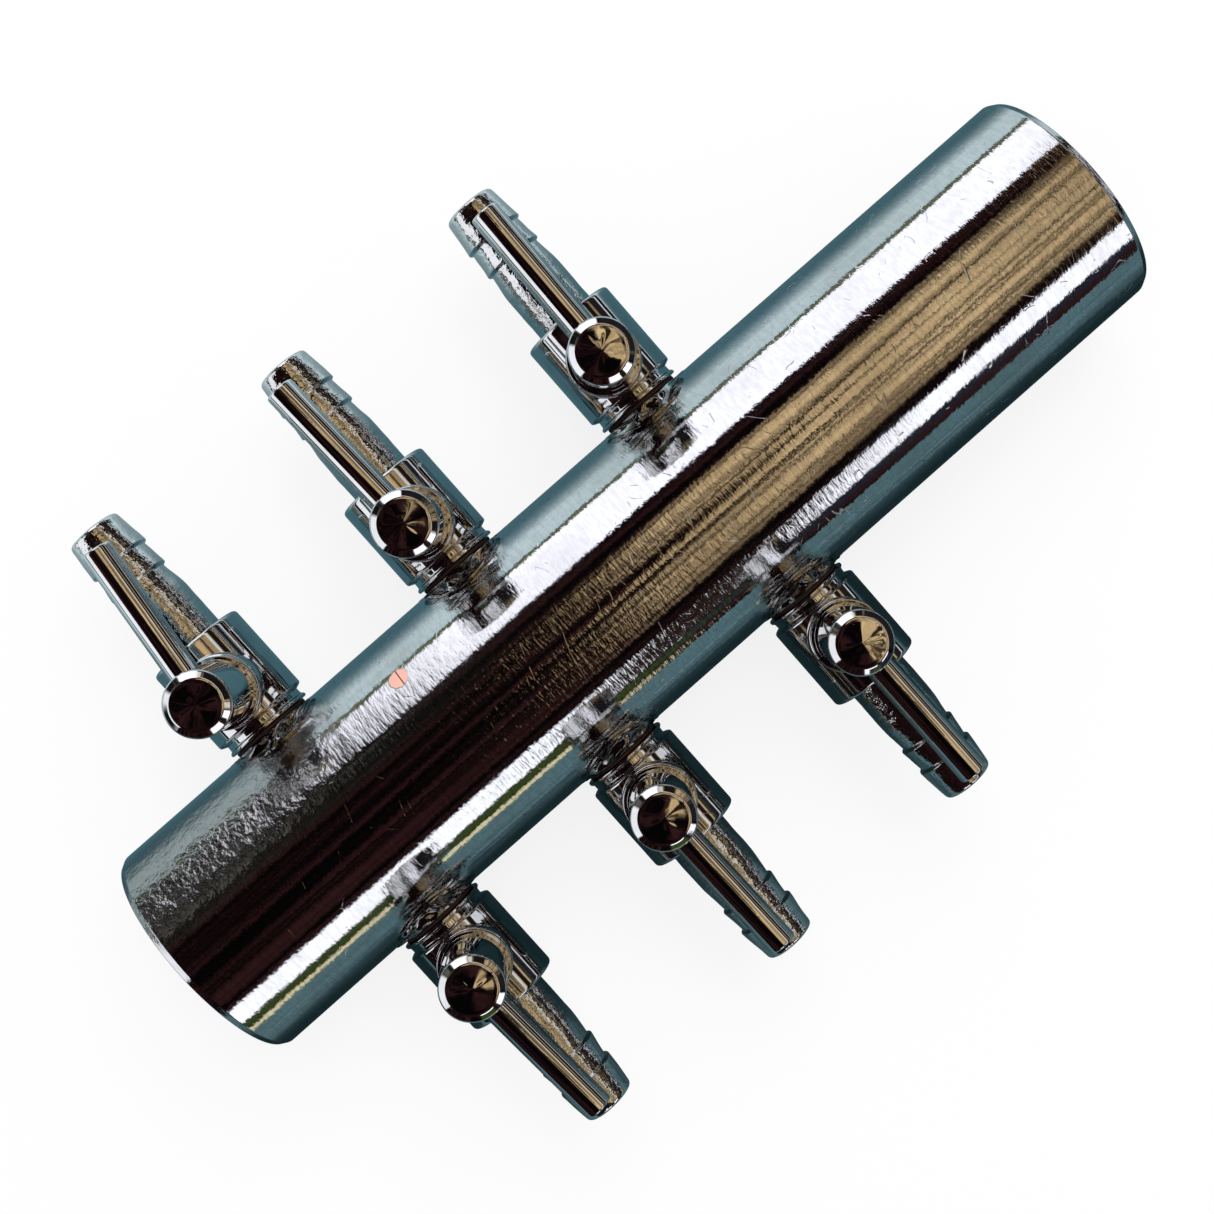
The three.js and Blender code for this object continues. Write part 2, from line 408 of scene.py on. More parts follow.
VECTOR, NUMBER, COLOUR = "NodeSocketVector", "NodeSocketFloat", "NodeSocketColor"


class PolishingStrokes(EffectGroup):
    """Short hair-like strokes of a polishing belt: quick across, slow along."""

    def wire(self, graph: Graph, given: Sockets) -> Sockets:
        """Stretches two noises along the stroke and adds them."""
        across = graph.times(given["Across"], given["Fineness"])
        along = graph.math("DIVIDE", given["Along"], given["Length"])
        place = graph.vector(across, along, 0.0)
        hairs = graph.noise(place, 1.0, 3.0, 0.6)
        broad = graph.noise(graph.vector(graph.times(across, 0.31), along, 7.0), 0.6, 2.0)
        height = graph.blend(0.35, hairs, broad)
        return {"Height": height, "Mask": graph.step(hairs, 0.42, 0.62)}


class FineScratches(EffectGroup):
    """Thin bright scratches at two angles, in patches."""

    def wire(self, graph: Graph, given: Sockets) -> Sockets:
        """Takes thin level lines of long stretched noises, cut short by a broad noise."""
        masks = []
        for turn, seed in ((1.25, 3.0), (-1.0, 11.0)):
            mapping = graph.add("ShaderNodeMapping", vector_type="TEXTURE")
            graph.feed(mapping.inputs["Vector"], given["Position"])
            graph.feed(mapping.inputs["Location"], (seed, seed * 0.7, seed * 1.3))
            graph.feed(mapping.inputs["Rotation"], (0.0, 0.0, turn))
            graph.feed(mapping.inputs["Scale"], (26.0, 1.2, 1.2))
            lines = graph.noise(mapping.outputs[0], given["Scale"], 0.0)
            ridge = graph.absolute(graph.minus(lines, 0.5))
            line = graph.step(ridge, 0.012, 0.003)
            patch = graph.step(graph.noise(given["Position"], 0.35 + 0.01 * seed, 2.0), 0.60, 0.67)
            masks.append(graph.times(line, patch))
        return {"Mask": graph.math("MAXIMUM", masks[0], masks[1])}


class OrangePeel(EffectGroup):
    """The soft lumps of plating over a surface that wasn't ground flat."""

    def wire(self, graph: Graph, given: Sockets) -> Sockets:
        """Adds a coarse and a fine noise."""
        coarse = graph.noise(given["Position"], given["Scale"], 1.0, 0.4)
        fine = graph.noise(given["Position"], graph.times(given["Scale"], 3.1), 2.0, 0.5)
        return {"Height": graph.blend(given["Fine"], coarse, fine)}


class Tarnish(EffectGroup):
    """Cloudy differences in how bright and how smooth a metal is, with small dark specks."""

    def wire(self, graph: Graph, given: Sockets) -> Sockets:
        """Mixes two colours by clouds and darkens the rare peaks of a fine noise."""
        clouds = graph.step(graph.noise(given["Position"], given["Scale"], 4.0, 0.6), 0.3, 0.75)
        specks = graph.step(graph.noise(given["Position"], 1.7, 2.0, 0.7), 0.70, 0.76)
        colour = graph.mix(clouds, given["Clean"], given["Dull"])
        speckled = graph.mix(graph.times(specks, 0.6), colour, display(70, 66, 62))
        return {"Colour": speckled, "Clouds": clouds}


STROKES = PolishingStrokes(
    "polishing_strokes",
    {"Across": NUMBER, "Along": NUMBER, "Fineness": NUMBER, "Length": NUMBER},
    {"Height": NUMBER, "Mask": NUMBER},
)
SCRATCHES = FineScratches("fine_scratches", {"Position": VECTOR, "Scale": NUMBER}, {"Mask": NUMBER})
PEEL = OrangePeel(
    "orange_peel", {"Position": VECTOR, "Scale": NUMBER, "Fine": NUMBER}, {"Height": NUMBER}
)
TARNISH = Tarnish(
    "tarnish",
    {"Position": VECTOR, "Scale": NUMBER, "Clean": COLOUR, "Dull": COLOUR},
    {"Colour": COLOUR, "Clouds": NUMBER},
)


# --------------------------------------------------------------------------- finishes


class Slot(Enum):
    """The record's material slots."""

    TUBE_CHROME = "tube_chrome"
    VALVE_CHROME = "valve_chrome"
    BRAZE_METAL = "braze_metal"
    SPRING_STEEL = "spring_steel"
    SEAL_FIBRE = "seal_fibre"
    SEAL_RUBBER = "seal_rubber"


def new_material(name: str) -> tuple[bpy.types.Material, Graph]:
    """An empty material and the graph of its tree."""
    material = bpy.data.materials.new(name)
    material.use_nodes = True
    material.node_tree.nodes.clear()
    return material, Graph(material.node_tree)


def in_millimetres(graph: Graph) -> Socket:
    """The point on the object, in millimetres."""
    scaled = graph.add("ShaderNodeVectorMath", operation="SCALE")
    graph.feed(scaled.inputs[0], graph.add("ShaderNodeTexCoord").outputs["Object"])
    graph.feed(scaled.inputs["Scale"], 1.0 / MM)
    return scaled.outputs[0]


@dataclass(frozen=True)
class Finish:
    """A material of one slot, built by the wiring of its kind."""

    name: str
    slot: Slot

    def material(self) -> bpy.types.Material:
        """The finish as a material, made on its first use.

        Returns:
            The material.
        """
        found = bpy.data.materials.get(self.name)
        if found is not None:
            return found
        material, graph = new_material(self.name)
        shader = graph.add("ShaderNodeBsdfPrincipled")
        graph.feed(graph.add("ShaderNodeOutputMaterial").inputs["Surface"], shader.outputs[0])
        self.wire(graph, shader, in_millimetres(graph))
        return material

    def wire(self, graph: Graph, shader: bpy.types.Node, place: Socket) -> None:
        """Feeds the shader.

        Args:
            graph: The material's tree.
            shader: Its Principled BSDF.
            place: The point on the object, in millimetres.
        """
        raise NotImplementedError

    @staticmethod
    def relief(graph: Graph, shader: bpy.types.Node, height: object) -> None:
        """Feeds a height in millimetres to the shader's normal."""
        bump = graph.add("ShaderNodeBump")
        bump.inputs["Strength"].default_value = 1.0
        bump.inputs["Distance"].default_value = MM
        graph.feed(bump.inputs["Height"], height)
        graph.feed(shader.inputs["Normal"], bump.outputs[0])


@dataclass(frozen=True)
class TubeChrome(Finish):
    """Plated tube: belt-polished round and round, with a badly ground patch near the closed end."""

    clean: Colour = (0.68, 0.685, 0.70, 1.0)
    dull: Colour = (0.56, 0.555, 0.55, 1.0)
    shaded: Colour = (0.42, 0.41, 0.40, 1.0)
    pitted_colour: Colour = display(112, 108, 102)
    inside_colour: Colour = display(120, 116, 110)
    scratch_colour: Colour = display(250, 250, 250)
    copper: Colour = display(204, 152, 138)
    crack_colour: Colour = display(60, 30, 24)
    outer_radius: float = 10.0
    bore_edge: tuple[float, float] = (9.7, 9.3)
    stroke_fineness: float = 2.9
    stroke_length: float = 1.15
    stroke_height: float = 0.026
    peel_height: float = 0.006
    pit_height: float = 0.16
    pitted_until: tuple[float, float] = (30.0, 17.0)
    scratched_from: tuple[float, float] = (28.0, 52.0)
    scratch_depth: float = 0.012
    fleck: tuple[float, float, float] = (27.1, 6.4, 7.68)
    fleck_radius: float = 0.82
    fleck_height: float = 0.05

    def wire(self, graph: Graph, shader: bpy.types.Node, place: Socket) -> None:
        """Strokes, peel, pits, scratches, tarnish and one bare copper fleck."""
        x, y, z = graph.parts(place)
        radius = graph.math("SQRT", graph.plus(graph.times(y, y), graph.times(z, z)))
        inside = graph.step(radius, *self.bore_edge)
        outside = graph.minus(1.0, inside)
        arc = graph.times(graph.math("ARCTAN2", y, z), self.outer_radius)
        strokes = STROKES.place(
            graph, Across=x, Along=arc, Fineness=self.stroke_fineness, Length=self.stroke_length
        )
        peel = PEEL.place(graph, Position=place, Scale=0.55, Fine=0.35)
        pits = PEEL.place(graph, Position=place, Scale=0.62, Fine=0.45)
        scratches = SCRATCHES.place(graph, Position=place, Scale=0.8)
        tarnish = TARNISH.place(graph, Position=place, Scale=0.12, Clean=self.clean, Dull=self.dull)
        pitted = graph.times(self.patch(graph, place), outside)
        worn = graph.blend(graph.step(x, *self.scratched_from), 0.2, 1.0)
        mark = graph.times(scratches["Mask"], outside, worn)
        fleck, bare = self.bare_fleck(graph, place)

        base = graph.mix(graph.times(pitted, 0.6), tarnish["Colour"], self.pitted_colour)
        base = graph.mix(graph.times(inside, 0.5), base, self.inside_colour)
        base = graph.mix(graph.times(mark, 0.4), base, self.scratch_colour)
        base = graph.mix(graph.times(strokes["Mask"], 0.30), base, self.shaded)
        graph.feed(shader.inputs["Base Color"], graph.mix(fleck, base, bare))
        smooth = graph.blend(tarnish["Clouds"], 0.035, 0.085)
        for mask, rough in ((pitted, 0.17), (inside, 0.30), (mark, 0.32), (fleck, 0.5)):
            smooth = graph.blend(mask, smooth, rough)
        graph.feed(shader.inputs["Roughness"], smooth)
        graph.feed(shader.inputs["Metallic"], graph.minus(1.0, fleck))
        height = graph.times(strokes["Height"], self.stroke_height)
        height = graph.scaled(peel["Height"], self.peel_height, height)
        height = graph.plus(height, graph.times(pits["Height"], graph.times(pitted, self.pit_height)))
        height = graph.scaled(mark, -self.scratch_depth, height)
        self.relief(graph, shader, graph.scaled(fleck, self.fleck_height, height))

    def patch(self, graph: Graph, place: Socket) -> Socket:
        """The badly ground patch: high on the +Y side, up to a ragged edge along the tube."""
        x, y, z = graph.parts(place)
        ragged = graph.plus(x, graph.times(graph.noise(place, 0.22, 2.0), 12.0))
        near_end = graph.times(graph.step(ragged, *self.pitted_until), graph.step(y, 1.5, 5.5))
        return graph.times(near_end, graph.step(z, 1.0, 4.5))

    def bare_fleck(self, graph: Graph, place: Socket) -> tuple[Socket, Socket]:
        """A ragged spot of bare copper with a dark crack: its mask and its colour."""
        offset = graph.add("ShaderNodeVectorMath", operation="DISTANCE")
        graph.feed(offset.inputs[0], place)
        graph.feed(offset.inputs[1], self.fleck)
        ragged = graph.plus(offset.outputs["Value"], graph.times(graph.noise(place, 2.2, 2.0), 0.35))
        fleck = graph.step(ragged, self.fleck_radius + 0.25, self.fleck_radius + 0.1)
        sideways = graph.minus(graph.parts(place)[0], self.fleck[0] + 0.12)
        crack = graph.between(sideways, -0.05, 0.05, 0.06)
        return fleck, graph.mix(crack, self.copper, self.crack_colour)


@dataclass(frozen=True)
class TurnedChrome(Finish):
    """Bright plating on turned brass: a mirror on the turned faces, and lumpy on the barbs."""

    clean: Colour
    dull: Colour
    tarnish_scale: float
    smooth: tuple[float, float]
    scratch_scale: float
    scratch: tuple[float, float]
    peel_scale: float
    peel_share: float
    peel_height: float
    barb_height: float = 0.0
    barb_scale: float = 0.9
    barb_share: float = 0.5
    barb_start: float = 19.5

    def wire(self, graph: Graph, shader: bpy.types.Node, place: Socket) -> None:
        """Tarnish, peel, a few scratches, and lumps that begin where the barrel ends."""
        scale = self.tarnish_scale
        peel = PEEL.place(graph, Position=place, Scale=self.peel_scale, Fine=self.peel_share)
        scratches = SCRATCHES.place(graph, Position=place, Scale=self.scratch_scale)
        tarnish = TARNISH.place(graph, Position=place, Scale=scale, Clean=self.clean, Dull=self.dull)
        graph.feed(shader.inputs["Base Color"], tarnish["Colour"])
        share, rough = self.scratch
        smooth = graph.blend(tarnish["Clouds"], *self.smooth)
        smooth = graph.blend(graph.times(scratches["Mask"], share), smooth, rough)
        graph.feed(shader.inputs["Roughness"], smooth)
        shader.inputs["Metallic"].default_value = 1.0
        height = graph.times(peel["Height"], self.peel_height)
        if self.barb_height:
            out = graph.absolute(graph.parts(place)[1])
            barb = graph.step(out, self.barb_start - 0.1, self.barb_start + 0.1)
            lumps = PEEL.place(graph, Position=place, Scale=self.barb_scale, Fine=self.barb_share)
            lumps_here = graph.times(lumps["Height"], graph.times(barb, self.barb_height))
            height = graph.plus(height, lumps_here)
        self.relief(graph, shader, height)


@dataclass(frozen=True)
class BrazeMetal(Finish):
    """Braze round a stub, plated over its lumps."""

    clean: Colour = (0.50, 0.50, 0.50, 1.0)
    dull: Colour = (0.13, 0.125, 0.12, 1.0)
    lump_height: float = 0.13

    def wire(self, graph: Graph, shader: bpy.types.Node, place: Socket) -> None:
        """Lumps, and a darker, rougher colour in their hollows."""
        lumps = PEEL.place(graph, Position=place, Scale=0.62, Fine=0.10)
        tarnish = TARNISH.place(graph, Position=place, Scale=0.9, Clean=self.clean, Dull=self.dull)
        hollow = graph.step(lumps["Height"], 0.52, 0.40)
        colour = graph.mix(graph.times(hollow, 0.7), tarnish["Colour"], display(34, 30, 28))
        graph.feed(shader.inputs["Base Color"], colour)
        graph.feed(shader.inputs["Roughness"], graph.blend(hollow, 0.05, 0.22))
        shader.inputs["Metallic"].default_value = 1.0
        self.relief(graph, shader, graph.times(lumps["Height"], self.lump_height))


@dataclass(frozen=True)
class SpringSteel(Finish):
    """Satin strip steel with a fine grain and a little heat colour."""

    def wire(self, graph: Graph, shader: bpy.types.Node, place: Socket) -> None:
        """A grain of fine strokes over cloudy steel."""
        x, y, _ = graph.parts(place)
        strokes = STROKES.place(graph, Across=x, Along=y, Fineness=9.0, Length=2.5)
        tarnish = TARNISH.place(
            graph, Position=place, Scale=1.2, Clean=display(188, 189, 192), Dull=display(150, 142, 130)
        )
        graph.feed(shader.inputs["Base Color"], tarnish["Colour"])
        graph.feed(shader.inputs["Roughness"], graph.blend(strokes["Mask"], 0.24, 0.38))
        shader.inputs["Metallic"].default_value = 1.0
        self.relief(graph, shader, graph.times(strokes["Height"], 0.008))


@dataclass(frozen=True)
class Seal(Finish):
    """A matt seal of fibre or rubber."""

    light: Colour
    dark: Colour
    grain: float
    roughness: float

    def wire(self, graph: Graph, shader: bpy.types.Node, place: Socket) -> None:
        """A grain that shades the colour and roughens the face."""
        grain = PEEL.place(graph, Position=place, Scale=self.grain, Fine=0.5)
        graph.feed(shader.inputs["Base Color"], graph.mix(grain["Height"], self.dark, self.light))
        graph.feed(shader.inputs["Roughness"], graph.blend(grain["Height"], self.roughness, 0.9))
        shader.inputs["Specular IOR Level"].default_value = 0.35
        self.relief(graph, shader, graph.times(grain["Height"], 0.03))


TUBE_CHROME = TubeChrome("tube_plating", Slot.TUBE_CHROME)
VALVE_CHROME = TurnedChrome(
    "valve_plating",
    Slot.VALVE_CHROME,
    clean=(0.68, 0.685, 0.69, 1.0),
    dull=(0.58, 0.575, 0.56, 1.0),
    tarnish_scale=0.5,
    smooth=(0.02, 0.06),
    scratch_scale=1.6,
    scratch=(0.6, 0.35),
    peel_scale=0.7,
    peel_share=0.3,
    peel_height=0.006,
    barb_height=0.085,
)
SPINDLE_CHROME = TurnedChrome(
    "spindle_plating",
    Slot.VALVE_CHROME,
    clean=(0.70, 0.705, 0.71, 1.0),
    dull=(0.62, 0.615, 0.60, 1.0),
    tarnish_scale=0.6,
    smooth=(0.015, 0.045),
    scratch_scale=2.0,
    scratch=(0.5, 0.3),
    peel_scale=0.8,
    peel_share=0.25,
    peel_height=0.004,
)
BRAZE = BrazeMetal("plated_braze", Slot.BRAZE_METAL)
CLIP_STEEL = SpringSteel("clip_steel", Slot.SPRING_STEEL)
FIBRE = Seal("pressed_fibre", Slot.SEAL_FIBRE, display(44, 26, 20), display(16, 9, 7), 3.5, 0.6)
RUBBER = Seal("seal_rubber", Slot.SEAL_RUBBER, display(38, 38, 39), display(18, 18, 19), 4.5, 0.5)


def dress(piece: bpy.types.Object, finish: Finish) -> None:
    """Gives a piece its finish."""
    piece.data.materials.clear()
    piece.data.materials.append(finish.material())


# --------------------------------------------------------------------------- sub-assemblies


@dataclass
class SubAssembly:
    """Something made of several pieces that all ride on named bodies."""

    made: list[bpy.types.Object] = field(default_factory=list, init=False)

    def keep(self, piece: bpy.types.Object, finish: Finish, body: str, *nodes: str) -> bpy.types.Object:
        """Dresses a piece, lets it ride on its body and stand for its CAD nodes.

        Args:
            piece: The piece, in place.
            finish: Its finish.
            body: The CAD body that it moves with.
            *nodes: The CAD nodes that it replaces.

        Returns:
            The piece.
        """
        dress(piece, finish)
        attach(piece, body)
        if nodes:
            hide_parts(*nodes)
        self.made.append(piece)
        LOG.info("%s: %d faces, rides on %s", piece.name, len(piece.data.polygons), body)
        return piece

    def build(self) -> None:
        """Makes every piece."""
        raise NotImplementedError


ALONG_X = Matrix(((0, 1, 0, 0), (1, 0, 0, 0), (0, 0, -1, 0), (0, 0, 0, 1)))


@dataclass
class MainTube(SubAssembly):
    """The drilled tube, the disc that closes it, and the braze seam round the disc."""

    radius: float = 10.0
    wall: float = 1.0
    length: float = 94.0
    edge: float = 0.3
    edge_length: float = 0.55
    soft_edge: float = 0.06
    inner_edge: float = 0.2
    disc_thickness: float = 1.2
    disc_radius: float = 8.92
    disc_dish: float = 0.12
    disc_recess: float = 0.02
    disc_rim: float = 0.3
    disc_edge: float = 0.12
    seam_radius: float = 0.2
    seam_swell: float = 0.22
    seam_flatness: float = 0.7
    seam_outset: float = 0.04
    seam_height: float = 0.26
    segments: int = 256

    def build(self) -> None:
        """Makes the tube, the disc and the seam."""
        self.keep(self.tube(), TUBE_CHROME, "manifold", "manifold_tube")
        self.keep(self.disc(), TUBE_CHROME, "manifold", "end_disc")
        self.keep(self.seam(), BRAZE, "manifold")

    def tube(self) -> bpy.types.Object:
        """The tube: a closed wall outline turned about X."""
        inner = self.radius - self.wall
        outline = corner_profile(
            [
                (inner, 0.0, self.inner_edge),
                (self.radius - self.edge, 0.0, self.soft_edge),
                (self.radius, self.edge_length, self.soft_edge),
                (self.radius, self.length - self.edge_length, self.soft_edge),
                (self.radius - self.edge, self.length, self.soft_edge),
                (inner, self.length, self.inner_edge),
            ],
            closed=True,
        )
        outline = refine(np.vstack([outline, outline[:1]]), 0.9)[:-1]
        return mesh_from_grids("tube", [turned_grid(outline, self.segments)], ALONG_X)

    def disc(self) -> bpy.types.Object:
        """The end disc, very slightly dished: h = d (1 - (r/R)^2)^2 inwards, past its recess."""
        radii = np.linspace(0.0, self.disc_radius - self.disc_rim, 24)
        hollow = (1.0 - (radii / self.disc_radius) ** 2) ** 2
        dish = self.disc_dish * hollow + self.disc_recess
        face = np.column_stack([radii, dish])
        rim = corner_profile(
            [
                (self.disc_radius - self.disc_rim, self.disc_recess, 0.0),
                (self.disc_radius, self.disc_recess, self.disc_edge),
                (self.disc_radius, self.disc_thickness, self.disc_edge),
                (0.0, self.disc_thickness, 0.0),
            ]
        )
        grid = turned_grid(np.vstack([face, rim[1:]]), self.segments)
        return mesh_from_grids("end_plate", [grid], ALONG_X)

    def seam(self) -> bpy.types.Object:
        """The braze seam: a small flattened section carried round the disc.

        Its section is s (cos v, f sin v), where s = r (1 + w) swells and shrinks with a lumpy
        field w of the angle u round the disc, and f is its flatness.

        Returns:
            The piece.
        """
        u = turn_steps(self.segments)
        v = np.linspace(0.0, TURN, 12, endpoint=False)[None, :]
        lumpy = wobble(u, 0.0 * u, 5, turns=60)
        section = self.seam_radius * (1.0 + self.seam_swell * lumpy)
        ring = self.disc_radius + self.seam_outset + section * np.cos(v)
        height = self.seam_height + section * self.seam_flatness * np.sin(v)
        grid = np.stack([ring * np.cos(u), height + 0.0 * u, ring * np.sin(u)], 2)
        return mesh_from_grids("end_seam", [grid], ALONG_X)


@dataclass(frozen=True)
class ValvePlace:
    """Where one valve stands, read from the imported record."""

    number: int
    spindle: Vector
    outward: Vector
    upward: Vector
    lever_turn: float

    @staticmethod
    def read(number: int) -> "ValvePlace":
        """Reads the valve's hinge and its outlet's mount.

        Args:
            number: The valve's number, from 1.

        Returns:
            Its place.
        """
        record = frame["record"]
        hinge = next(j for j in frame["joints"] if j["name"] == f"lever_turn_{number}")
        mount = next(m for m in record["mounts"] if m["name"] == f"outlet_{number}")
        low, high = hinge["range_deg"]
        return ValvePlace(
            number,
            Vector(hinge["pos_m"]) / MM,
            Vector(mount["axis"]),
            Vector(hinge["axis"]),
            -math.radians((low + high) / 2.0),
        )

    @property
    def body(self) -> str:
        """The name of the turning body."""
        return f"spindle_{self.number}"

    def on_tube(self) -> Matrix:
        """The outlet's frame on the tube's axis: Y outwards and Z straight up."""
        return self.framed(Vector((self.spindle.x, 0.0, 0.0)), Vector((0.0, 0.0, 1.0)), 0.0)

    def on_outlet(self) -> Matrix:
        """The valve body's frame on the tube's axis: Y outwards and Z along the spindle."""
        return self.framed(Vector((self.spindle.x, 0.0, 0.0)), self.upward, 0.0)

    def on_spindle(self) -> Matrix:
        """The spindle's frame: Y along the lever and Z along the spindle."""
        return self.framed(self.spindle, self.upward, self.lever_turn)

    def framed(self, origin: Vector, up: Vector, turn: float) -> Matrix:
        """A frame with Y outwards and Z up, turned about its own Z."""
        across = self.outward.cross(up)
        basis = Matrix((across, self.outward, up)).transposed().to_4x4()
        return Matrix.Translation(origin) @ basis @ Matrix.Rotation(turn, 4, "Z")


@dataclass
class BrazedStub(SubAssembly):
    """One outlet's stub with its braze fillet, and the fibre ring on it."""

    place: ValvePlace
    tube_radius: float = 10.0
    bore: float = 1.45
    stub_radius: float = 3.4
    inner_end: float = 8.4
    outer_end: float = 10.0
    shoulder_radius: float = 3.85
    fillet_reach: float = 4.45
    fillet_rise: float = 0.55
    lump: float = 0.17
    ring_radius: float = 3.45
    ring_start: float = 10.05
    ring_end: float = 10.36
    segments: int = 144

    def build(self) -> None:
        """Makes the stub and the ring."""
        number = self.place.number
        self.keep(self.stub(), BRAZE, "manifold", f"outlet_stub_{number}")
        self.keep(self.ring(), FIBRE, "manifold", f"sealing_ring_{number}")

    def stub(self) -> bpy.types.Object:
        """The stub, whose foot spreads over the tube in a lumpy fillet.

        Round the outlet by u, the fillet is the curve (1-t)^2 a + 2t(1-t) c + t^2 b. It starts at
        the shoulder a, ends at b on the tube, where the height is sqrt(R^2 - z^2), and bends at c,
        where the shoulder's wall would meet the tube.

        Returns:
            The piece.
        """
        u = turn_steps(self.segments)
        t = np.linspace(0.0, 1.0, 22)[None, :]
        seed = 20 + self.place.number
        lumpy = wobble(u, 1.7 * t, seed, turns=13)
        reach = self.fillet_reach + self.fillet_rise * np.cos(u) ** 2
        reach = reach + 0.10 * wobble(u, 0.0 * u, seed + 40, turns=5)

        def on_tube(radius: np.ndarray | float) -> np.ndarray:
            """Height of the tube's surface at a radius from the outlet's axis."""
            return np.sqrt(self.tube_radius**2 - (radius * np.cos(u)) ** 2)

        a = (self.shoulder_radius, self.outer_end)
        b = (reach, on_tube(reach) - 0.05)
        c = (self.shoulder_radius + 0.12, on_tube(self.shoulder_radius) + 0.06)
        radius = (1 - t) ** 2 * a[0] + 2 * t * (1 - t) * c[0] + t**2 * b[0]
        height = (1 - t) ** 2 * a[1] + 2 * t * (1 - t) * c[1] + t**2 * b[1]
        swell = self.lump * lumpy * np.sin(math.pi * t)
        radius, height = radius + swell, height + 0.6 * swell * np.abs(np.cos(u))
        rows = [
            (self.bore, self.inner_end),
            (self.bore, self.outer_end - 0.1),
            (self.bore + 0.1, self.outer_end),
            (self.shoulder_radius - 0.12, self.outer_end),
            (radius, height),
            (reach * 0.96, on_tube(reach * 0.96) - 0.35),
            (self.stub_radius, on_tube(self.stub_radius) - 0.6),
            (self.stub_radius, self.inner_end + 0.15),
            (self.stub_radius - 0.12, self.inner_end),
        ]
        radius, height = columns(rows, u)
        grid = np.stack([radius * np.sin(u), height, radius * np.cos(u)], 2)
        return mesh_from_grids(f"stub_{self.place.number}", [grid], self.place.on_tube())

    def ring(self) -> bpy.types.Object:
        """The fibre ring: a thin rounded washer."""
        outline = corner_profile(
            [
                (self.bore, self.ring_start, 0.03),
                (self.ring_radius, self.ring_start, 0.09),
                (self.ring_radius, self.ring_end, 0.09),
                (self.bore, self.ring_end, 0.03),
            ],
            steps=4,
            closed=True,
        )
        grid = turned_grid(outline, self.segments)
        return mesh_from_grids(f"fibre_ring_{self.place.number}", [grid], self.place.on_tube())


